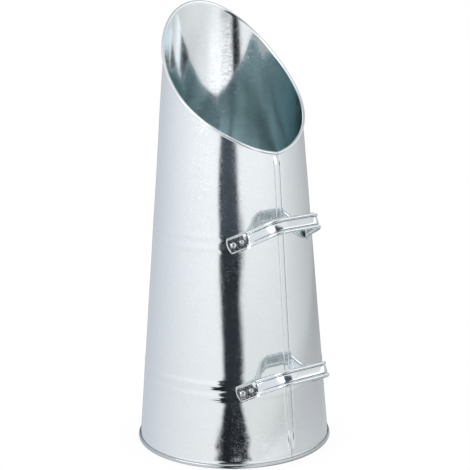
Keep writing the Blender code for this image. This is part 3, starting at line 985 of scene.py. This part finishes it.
def rivet_profile(wall, handle, height, point, head):
    """Return radius and height of a rivet from pole to pole: a flat tail, a shank and a dimpled dome."""
    _, stand = tab_stand(wall, handle, height)
    seat = stand + handle.strap / 2
    wall_depth = float(np.hypot(point[0], point[1]) - wall_radius(wall, point[2]))
    wall_turn = abs(math.atan2(point[0], -point[1])) - abs(TAB_FACING)
    tail = -wall.sheet / 2 - CLEARANCE / 2 - wall_depth - RIVET_TAIL * abs(math.sin(wall_turn))
    dome = np.array([
        (head, seat),
        (1.00 * head, seat + 0.25 * RIVET_DOME),
        (0.90 * head, seat + 0.75 * RIVET_DOME),
        (0.70 * head, seat + 1.05 * RIVET_DOME),
        (0.45 * head, seat + 1.00 * RIVET_DOME),
        (0.34 * head, seat + RIVET_DOME - 0.9 * RIVET_DIMPLE),
        (0.20 * head, seat + RIVET_DOME - RIVET_DIMPLE),
        (0.06 * head, seat + RIVET_DOME - RIVET_DIMPLE),
    ])
    foot = np.array([
        (0.06 * RIVET_TAIL, tail - RIVET_TAIL_DEPTH),
        (0.80 * RIVET_TAIL, tail - RIVET_TAIL_DEPTH),
        (RIVET_TAIL, tail - 0.75 * RIVET_TAIL_DEPTH),
        (RIVET_TAIL, tail),
    ])
    shank = np.array([(RIVET_SHANK, tail), (RIVET_SHANK, seat)])
    return np.concatenate([cut_corners(foot, 2), shank, cut_corners(dome, 3)])


def rivet_places(wall, handle, height):
    """Return name, point close to the bare wall, axis and head radius of the four rivets of one handle."""
    places = []
    for row, side, head in (("outer", -0.5, handle.outer_head), ("inner", 0.5, handle.inner_head)):
        point, axis = tab_place(wall, handle, height, side * handle.rivet_pitch, 0.0)
        places.append(("left_" + row, point, axis, head))
        places.append(("right_" + row, point * MIRROR, axis * MIRROR, head))
    return places


def turned(profile, point, axis):
    """Return points and faces of a profile turned about an axis, its two ends closed to poles."""
    first = unit(np.cross(axis, UPRIGHT))
    second = np.cross(axis, first)
    bow = np.linspace(0.0, FULL_TURN, RIVET_SIDES, endpoint=False)
    spoke = np.cos(bow)[:, None] * first + np.sin(bow)[:, None] * second
    rings = point + profile[:, 1, None, None] * axis + profile[:, 0, None, None] * spoke
    poles = point + profile[[0, -1], 1, None] * axis
    points = np.concatenate([rings.reshape(-1, 3), poles])
    return points, turned_faces(len(profile), RIVET_SIDES)


class HOD_OT_rivets(bpy.types.Operator):
    """Build the eight rivets that hold the handles"""

    bl_idname = "hod.rivets"
    bl_label = "Rivets"

    def execute(self, context):
        wall, handle = context.scene.hod_wall, context.scene.hod_handle
        material = rivet_plate(context)
        for key, height in handle_heights(wall):
            for spot, point, axis, head in rivet_places(wall, handle, height):
                points, faces = turned(rivet_profile(wall, handle, height, point, head), point, axis)
                item = new_object("hod_" + key + "_rivet_" + spot, points, faces, material)
                shade(item)
                place(item, key + "_rivet_" + spot)
        return {"FINISHED"}


# Finishes


class Finish:
    """A metal material and short ways to add and join its nodes."""

    def __init__(self, name):
        self.material = bpy.data.materials.new(name)
        self.material.use_nodes = True
        self.tree = self.material.node_tree
        self.shader = self.tree.nodes["Principled BSDF"]
        self.shader.inputs["Metallic"].default_value = 1.0

    def node(self, kind, inputs=None, **settings):
        """Add a node with its settings, and set or link its inputs."""
        item = self.tree.nodes.new(kind)
        for key, value in settings.items():
            setattr(item, key, value)
        for key, value in (inputs or {}).items():
            self.feed(item.inputs[key], value)
        return item

    def feed(self, socket, value):
        """Link a socket to an output, or set its value."""
        if isinstance(value, bpy.types.NodeSocket):
            self.tree.links.new(value, socket)
        else:
            socket.default_value = value

    def surface(self, shader):
        """Take the output of another shader as the surface, in place of the metal."""
        self.tree.nodes.remove(self.shader)
        self.feed(self.tree.nodes["Material Output"].inputs["Surface"], shader)

    def vector(self, source="Object", scale=(1.0, 1.0, 1.0)):
        """Return coordinates in metres, scaled."""
        coords = self.node("ShaderNodeTexCoord")
        mapping = self.node("ShaderNodeMapping", {"Vector": coords.outputs[source], "Scale": scale})
        return mapping.outputs["Vector"]

    def noise(self, vector, scale, detail=2.0, rough=0.6, warp=0.0):
        """Return a noise pattern between 0 and 1."""
        item = self.node(
            "ShaderNodeTexNoise",
            {"Vector": vector, "Scale": scale, "Detail": detail, "Roughness": rough, "Distortion": warp},
        )
        return item.outputs["Fac"]

    def crystals(self, vector, width):
        """Return a random value per crystal, with ragged borders: cells on coordinates moved by noise."""
        shift = self.node("ShaderNodeTexNoise", {"Vector": vector, "Scale": RAGS / width, "Detail": 3.0})
        centred = self.node(
            "ShaderNodeVectorMath", {0: shift.outputs["Color"], 1: (0.5, 0.5, 0.5)}, operation="SUBTRACT"
        )
        moved = self.node(
            "ShaderNodeVectorMath",
            {0: centred.outputs["Vector"], 1: (RAG_REACH * width,) * 3, 2: vector},
            operation="MULTIPLY_ADD",
        )
        cells = self.node("ShaderNodeTexVoronoi", {"Vector": moved.outputs["Vector"], "Scale": 1 / width})
        return self.node("ShaderNodeSeparateColor", {"Color": cells.outputs["Color"]}).outputs["Red"]

    def span(self, value, low, high, to_low=0.0, to_high=1.0):
        """Return a value carried from one range to another, held at its ends."""
        item = self.node(
            "ShaderNodeMapRange",
            {"Value": value, "From Min": low, "From Max": high, "To Min": to_low, "To Max": to_high},
            interpolation_type="SMOOTHSTEP",
        )
        return item.outputs["Result"]

    def math(self, operation, *values):
        """Return the result of a sum on values."""
        return self.node("ShaderNodeMath", dict(enumerate(values)), operation=operation).outputs["Value"]

    def blend(self, part, first, second):
        """Return a colour between two colours."""
        item = self.node("ShaderNodeMix", data_type="RGBA")
        self.feed(item.inputs["Factor"], part)
        self.feed(item.inputs["A"], first)
        self.feed(item.inputs["B"], second)
        return item.outputs["Result"]

    def bump(self, height, distance, normal=None):
        """Return a normal bent by a height pattern of a given depth in metres."""
        inputs = {"Height": height, "Distance": distance, "Strength": 1.0}
        if normal is not None:
            inputs["Normal"] = normal
        return self.node("ShaderNodeBump", inputs).outputs["Normal"]


def tone(colour_value, amount):
    """Return a colour made lighter or darker, with full alpha."""
    return (*[min(1.0, channel * amount) for channel in colour_value], 1.0)


def zinc(name, colour_value, roughness, spangle, streak_scale, fleck_scale=(0.35, 0.35, 1.0), flecks=0.20,
         source="Object", wear=SHEET_WEAR, reverse=None):
    """Return hot-dip zinc: crystals, streaks along the sheet, dull flecks, cloudy patches and a faint ripple.

    The flecks lie only on the side of a sheet that faces away from the axis, and the wear changes them along
    one axis of the source coordinates. The reverse is what the other side has: a factor on its colour, and
    more roughness with level scuffs in it. On the wall that factor is painted light, which makes the inside
    lighter than the outside.
    """
    finish = Finish(name)
    plain = finish.vector(source)
    crystal = finish.crystals(plain, spangle)
    cloud = finish.noise(plain, CLOUDS, detail=4.0)
    streak = finish.noise(finish.vector(source, streak_scale), STREAKS, detail=3.0)
    fleck = finish.span(finish.noise(finish.vector(source, fleck_scale), FLECKS), *FLECK_SPAN)
    patch = finish.span(finish.noise(plain, PATCHES, detail=4.0, warp=0.6), *PATCH_SPAN)
    along = finish.node("ShaderNodeSeparateXYZ", {"Vector": plain}).outputs[wear["axis"]]
    side = finish.node("ShaderNodeAttribute", attribute_name="inner").outputs["Fac"]
    dull = finish.math("MULTIPLY", fleck, patch)
    dull = finish.math("MULTIPLY", dull, finish.span(along, *wear["places"], *wear["flecks"]))
    dull = finish.math("MULTIPLY", dull, finish.math("SUBTRACT", 1.0, side))
    rough = finish.math("MULTIPLY", crystal, CRYSTAL_ROUGH)
    rough = finish.math("MULTIPLY_ADD", streak, STREAK_ROUGH, rough)
    rough = finish.math("MULTIPLY_ADD", cloud, CLOUD_ROUGH, rough)
    worn = finish.span(along, *wear["places"], wear["rough"])
    rough = finish.math("MULTIPLY_ADD", rough, worn, roughness - PATTERN_ROUGH)
    rough = finish.math("MULTIPLY_ADD", dull, flecks, rough)
    cloud_shade = finish.math("MULTIPLY", cloud, 1 - CRYSTAL_SHADE)
    shade_part = finish.math("MULTIPLY_ADD", crystal, CRYSTAL_SHADE, cloud_shade)
    metal = finish.blend(shade_part, *[tone(colour_value, amount) for amount in SHADES])
    if reverse is not None:
        # On the wall this factor is painted light: it makes the inside lighter than the outside
        metal = finish.blend(side, metal, tone(colour_value, reverse[0]))
        scuff = finish.noise(finish.vector(source, SCUFF_SCALE), SCUFFS)
        scuff = finish.math("MULTIPLY", side, finish.span(scuff, *SCUFF_SPAN))
        rough = finish.math("MULTIPLY_ADD", scuff, reverse[1], rough)
    finish.feed(finish.shader.inputs["Base Color"], metal)
    finish.feed(finish.shader.inputs["Roughness"], rough)
    ripple = finish.bump(finish.noise(plain, RIPPLES, detail=1.0, rough=0.5), RIPPLE_DEPTH)
    streak_grain = finish.math("MULTIPLY", streak, 1 - CRYSTAL_GRAIN)
    grain = finish.math("MULTIPLY_ADD", crystal, CRYSTAL_GRAIN, streak_grain)
    finish.feed(finish.shader.inputs["Normal"], finish.bump(grain, GRAIN_DEPTH, ripple))
    return finish.material


def wall_zinc(context):
    """Return the zinc of the wall, with upright streaks and a lighter inside, which is painted light."""
    finish = context.scene.hod_finish
    return zinc(
        "galvanised_wall_zinc", finish.wall_colour, finish.roughness, finish.spangle,
        streak_scale=(1.0, 1.0, 0.06), flecks=0.21, reverse=(finish.inside_painted_light, finish.inside),
    )


def base_zinc(context):
    """Return the zinc of the base: a little rougher and darker than the wall, and its darker colour is
    painted shade on the foot seam.
    """
    finish = context.scene.hod_finish
    return zinc(
        "galvanised_base_zinc_painted_shade", finish.base_painted_shade_colour, finish.roughness + BASE_DULL, finish.spangle,
        streak_scale=(1.0, 0.08, 1.0),
    )


def strap_zinc(context):
    """Return the zinc of the straps, with streaks along them."""
    finish = context.scene.hod_finish
    return zinc(
        "galvanised_strap_zinc", finish.strap_colour, finish.roughness + STRAP_DULL, finish.spangle,
        streak_scale=(0.05, 1.0, 1.0), fleck_scale=(0.6, 1.0, 1.0), flecks=0.45, source="UV",
        wear=STRAP_WEAR, reverse=(finish.strap_reverse, STRAP_BACK_DULL),
    )


def wire_zinc(context):
    """Return the drawn wire: duller, with streaks."""
    finish = context.scene.hod_finish
    return zinc(
        "galvanised_wire_zinc", finish.wire_colour, WIRE_ROUGH, WIRE_SPANGLE, streak_scale=(1.0, 1.0, 0.2)
    )


def rivet_plate(context):
    """Return the plated finish of the rivets: hammered faces, small dull spots."""
    rivet_colour = context.scene.hod_finish.rivet_colour
    plate = Finish("plated_rivet_steel")
    plain = plate.vector()
    hammer = plate.noise(plain, HAMMERING, rough=0.5)
    spot = plate.span(plate.noise(plain, SPOTS, rough=0.5), *SPOT_SPAN)
    rough = plate.math("MULTIPLY_ADD", hammer, HAMMER_ROUGH, PLATE_ROUGH)
    rough = plate.math("MULTIPLY_ADD", spot, SPOT_ROUGH, rough)
    metal = plate.blend(hammer, *[tone(rivet_colour, amount) for amount in PLATE_SHADES])
    plate.feed(plate.shader.inputs["Base Color"], metal)
    plate.feed(plate.shader.inputs["Roughness"], rough)
    plate.feed(plate.shader.inputs["Normal"], plate.bump(hammer, HAMMER_DEPTH))
    return plate.material


# Stage


def tent_walls(studio, azimuth, elevation, fall):
    """Return the glow of the tent's walls, before its dark parts.

    It goes from the front's glow to the back's with the fall. The front has factors that are straight between
    a few elevations, with a bright board added low on the right. The right side, the roof and the right side
    near the floor have factors of their own, and lamps brighten both sides.
    """
    left = azimuth < 0
    front = np.where(left, studio.left_front, studio.right_front)
    back = np.where(left, studio.left_back, studio.right_back)
    board_end = smooth_step(*BOARD_NEAR_END, azimuth) + smooth_step(*BOARD_FAR_END, azimuth)
    board = np.interp(elevation, BOARD_STEPS, BOARD_GLOW) * (1 - board_end / 2)
    left_rise = np.interp(elevation, RISE_STEPS, LEFT_RISE)
    right_rise = np.interp(elevation, RISE_STEPS, RIGHT_RISE) + board
    rise = np.where(left, left_rise, right_rise)
    glow = (front - (front - back) * fall) * (1 + (rise - 1) * (1 - fall))
    glow = glow * (1 + smooth_step(*SIDE_START, azimuth) * np.interp(elevation, SIDE_STEPS, SIDE_GLOW))
    glow = glow * (1 - ROOF_SHADE * smooth_step(*ROOF_START, elevation))
    low = band(LOW_START, LOW_STOP, azimuth) * (1 - smooth_step(*LOW_TOP, elevation))
    glow = glow * (1 - LOW_SHADE * low)
    lamp = band(LAMP_FOOT, LAMP_TOP, elevation) * smooth_step(*LAMP_START, np.abs(azimuth))
    lamp = lamp * np.where(left, LAMP_LEFT * smooth_step(*LAMP_LEFT_END, azimuth), LAMP_RIGHT)
    return glow * (1 + studio.lamp * lamp)


def tent_dark(azimuth, elevation):
    """Return how dark the tent is, from 0 to 1: the most of its slit, its hood and its seam.

    The slit for the lens has soft edges that are straight between a few elevations, the hood above it fades
    with a power of the azimuth, and the seam runs up the back of the tent.
    """
    stops, left_edge, right_edge = np.array(SLIT_EDGES).T
    past_left = azimuth - np.interp(elevation, stops, left_edge)
    past_right = np.interp(elevation, stops, right_edge) - azimuth
    right_soft = np.interp(elevation, SLIT_RIGHT_STEPS, SLIT_RIGHT_SOFT)
    slit = smooth_step(-SLIT_LEFT_SOFT, SLIT_LEFT_SOFT, past_left)
    slit = slit * smooth_step(-1.0, 1.0, past_right / right_soft)
    slit = slit * (1 - smooth_step(*SLIT_TOP, elevation))
    hood = band(HOOD_FOOT, HOOD_TOP, elevation) / (1 + np.abs(azimuth / HOOD_HALF) ** HOOD_POWER)
    seam = smooth_step(*CLOTH_SEAM, np.abs(azimuth)) * (1 - smooth_step(*CLOTH_SEAM_TOP, elevation))
    return np.maximum(np.maximum(slit, hood), seam)


def tent_glow(studio, azimuth, elevation):
    """Return the colour of the light tent at an azimuth and an elevation in degrees.

    The walls fall off from front to back with ((1 - cosine of the azimuth) / 2) to a power, and turn cooler
    with the same fall. On the right a low zone is a little warmer. The slit has a faint, cool glow.
    """
    left = azimuth < 0
    fall = ((1 - np.cos(np.radians(azimuth))) / 2) ** TENT_FALL
    warm = np.where(left, 0.0, band(WARM_FOOT, WARM_TOP, elevation))
    red = FRONT_TINT[0] - np.where(left, LEFT_COOLING[0], RIGHT_COOLING[0]) * fall - WARMING[0] * warm
    blue = FRONT_TINT[1] + np.where(left, LEFT_COOLING[1], RIGHT_COOLING[1]) * fall - WARMING[1] * warm
    dark = tent_dark(azimuth, elevation)
    lit = tent_walls(studio, azimuth, elevation, fall) * (1 - dark)
    dim = studio.slit * np.interp(elevation, SLIT_STEPS, SLIT_GLOW) * dark
    colours = [lit * red + SLIT_TINT[0] * dim, lit + dim, lit * blue + SLIT_TINT[1] * dim, np.ones_like(lit)]
    return np.stack(colours, axis=-1)


def light_tent(studio):
    """Add the light tent: a sphere round the hod with its own glow at every point, unseen by the lens."""
    azimuth = divided(AZIMUTH_STOPS, AZIMUTH_STEPS)
    elevation = np.append(divided(ELEVATION_STOPS, ELEVATION_STEPS), ELEVATION_STOPS[-1])
    right = unit(np.array(CAMERA_RIGHT) * (1.0, 1.0, 0.0))
    front = np.cross(right, UPRIGHT)
    turn, tilt = np.meshgrid(np.radians(azimuth), np.radians(elevation))
    points = np.cos(tilt)[..., None] * (np.cos(turn)[..., None] * front + np.sin(turn)[..., None] * right)
    points[..., 2] = np.sin(tilt)
    points = points.reshape(-1, 3) * studio.tent_radius + TENT_MIDDLE * UPRIGHT
    cloth = Finish("tent_cloth")
    source = cloth.node("ShaderNodeAttribute", attribute_name="glow")
    cloth.surface(cloth.node("ShaderNodeEmission", {"Color": source.outputs["Color"]}).outputs["Emission"])
    cloth.material.cycles.emission_sampling = "NONE"
    quads = grid_quads(len(elevation), len(azimuth), closed=True)
    item = new_object("light_tent", points, quads, cloth.material)
    attribute = item.data.attributes.new("glow", "FLOAT_COLOR", "POINT")
    attribute.data.foreach_set("color", tent_glow(studio, *np.meshgrid(azimuth, elevation)).reshape(-1))
    item.visible_camera = False
    item.visible_shadow = False


def pale_floor(studio):
    """Add the floor: a disc that is white to the lens, and takes a soft shadow close to the foot."""
    turn = np.linspace(0.0, FULL_TURN, FLOOR_SIDES, endpoint=False)
    radius = np.linspace(FLOOR_EYE, studio.floor_radius, FLOOR_RINGS)
    rings = polar(np.repeat(radius[:, None], FLOOR_SIDES, axis=1), turn, -FLOOR_DROP)
    points = np.concatenate([rings.reshape(-1, 3), [-FLOOR_DROP * UPRIGHT]])
    ring = np.arange(FLOOR_SIDES)
    fan = np.stack([np.full(FLOOR_SIDES, len(points) - 1), ring, np.roll(ring, -1)], axis=1)
    faces = grid_quads(FLOOR_RINGS, FLOOR_SIDES, closed=True)[:, ::-1].tolist() + fan.tolist()
    paint = Finish("pale_floor")
    white = paint.node("ShaderNodeEmission").outputs["Emission"]
    matt = paint.node("ShaderNodeBsdfDiffuse", {"Color": FLOOR_COLOUR}).outputs["BSDF"]
    place_on = paint.node("ShaderNodeTexCoord").outputs["Object"]
    distance = paint.node("ShaderNodeVectorMath", {0: place_on}, operation="LENGTH").outputs["Value"]
    near = paint.span(distance, *SHADOW_REACH, SHADOW_SHARE, 0.0)
    paint.surface(paint.node("ShaderNodeMixShader", {"Fac": near, 1: white, 2: matt}).outputs["Shader"])
    paint.material.cycles.emission_sampling = "NONE"
    item = new_object("pale_floor", points, faces, paint.material)
    item.visible_glossy = False


class HOD_OT_studio(bpy.types.Operator):
    """Set up the camera of the photograph, the light tent, the floor and the white backdrop"""

    bl_idname = "hod.studio"
    bl_label = "Studio"

    def execute(self, context):
        scene, studio = context.scene, context.scene.hod_studio
        lens = bpy.data.cameras.new("photo_camera")
        lens.lens = studio.lens
        lens.sensor_width = CAMERA_SENSOR
        lens.sensor_fit = "HORIZONTAL"
        camera = bpy.data.objects.new("photo_camera", lens)
        scene.collection.objects.link(camera)
        right, up = np.array(CAMERA_RIGHT), np.array(CAMERA_UP)
        axes = np.stack([right, up, np.cross(right, up), np.array(CAMERA_PLACE)], axis=1)
        camera.matrix_world = Matrix([*axes.tolist(), (0.0, 0.0, 0.0, 1.0)])
        scene.camera = camera
        world = bpy.data.worlds.new("white_backdrop")
        world.use_nodes = True
        backdrop = world.node_tree.nodes["Background"]
        backdrop.inputs["Color"].default_value = (1.0, 1.0, 1.0, 1.0)
        backdrop.inputs["Strength"].default_value = 1.0
        scene.world = world
        light_tent(studio)
        pale_floor(studio)
        scene.cycles.max_bounces = 24
        scene.cycles.glossy_bounces = 20
        scene.cycles.diffuse_bounces = 4
        scene.view_settings.view_transform = "Standard"
        return {"FINISHED"}


class HOD_PT_sizes(bpy.types.Panel):
    """Sizes, finish and studio of the hod"""

    bl_idname = "HOD_PT_sizes"
    bl_label = "Coal Hod"
    bl_space_type = "VIEW_3D"
    bl_region_type = "UI"
    bl_category = "Hod"

    def draw(self, context):
        for group in GROUPS:
            box = self.layout.box()
            settings = getattr(context.scene, group)
            for key in settings.__annotations__:
                box.prop(settings, key)
        for operator in OPERATORS:
            self.layout.operator(operator.bl_idname)


GROUPS = {"hod_wall": HodWall, "hod_handle": HodHandle, "hod_finish": HodFinish, "hod_studio": HodStudio}
OPERATORS = (HOD_OT_wall, HOD_OT_base, HOD_OT_wire, HOD_OT_handles, HOD_OT_rivets, HOD_OT_studio)


def register():
    """Register the groups, operators and panel."""
    for name, group in GROUPS.items():
        bpy.utils.register_class(group)
        setattr(bpy.types.Scene, name, bpy.props.PointerProperty(type=group))
    for operator in OPERATORS:
        bpy.utils.register_class(operator)
    bpy.utils.register_class(HOD_PT_sizes)


def unregister():
    """Remove the panel, operators and groups."""
    bpy.utils.unregister_class(HOD_PT_sizes)
    for operator in reversed(OPERATORS):
        bpy.utils.unregister_class(operator)
    for name, group in GROUPS.items():
        delattr(bpy.types.Scene, name)
        bpy.utils.unregister_class(group)


def main():
    """Build every piece and the stage."""
    register()
    bpy.ops.hod.wall()
    bpy.ops.hod.base()
    bpy.ops.hod.wire()
    bpy.ops.hod.handles()
    bpy.ops.hod.rivets()
    bpy.ops.hod.studio()
    bpy.context.view_layer.update()


if __name__ == "__main__":
    main()
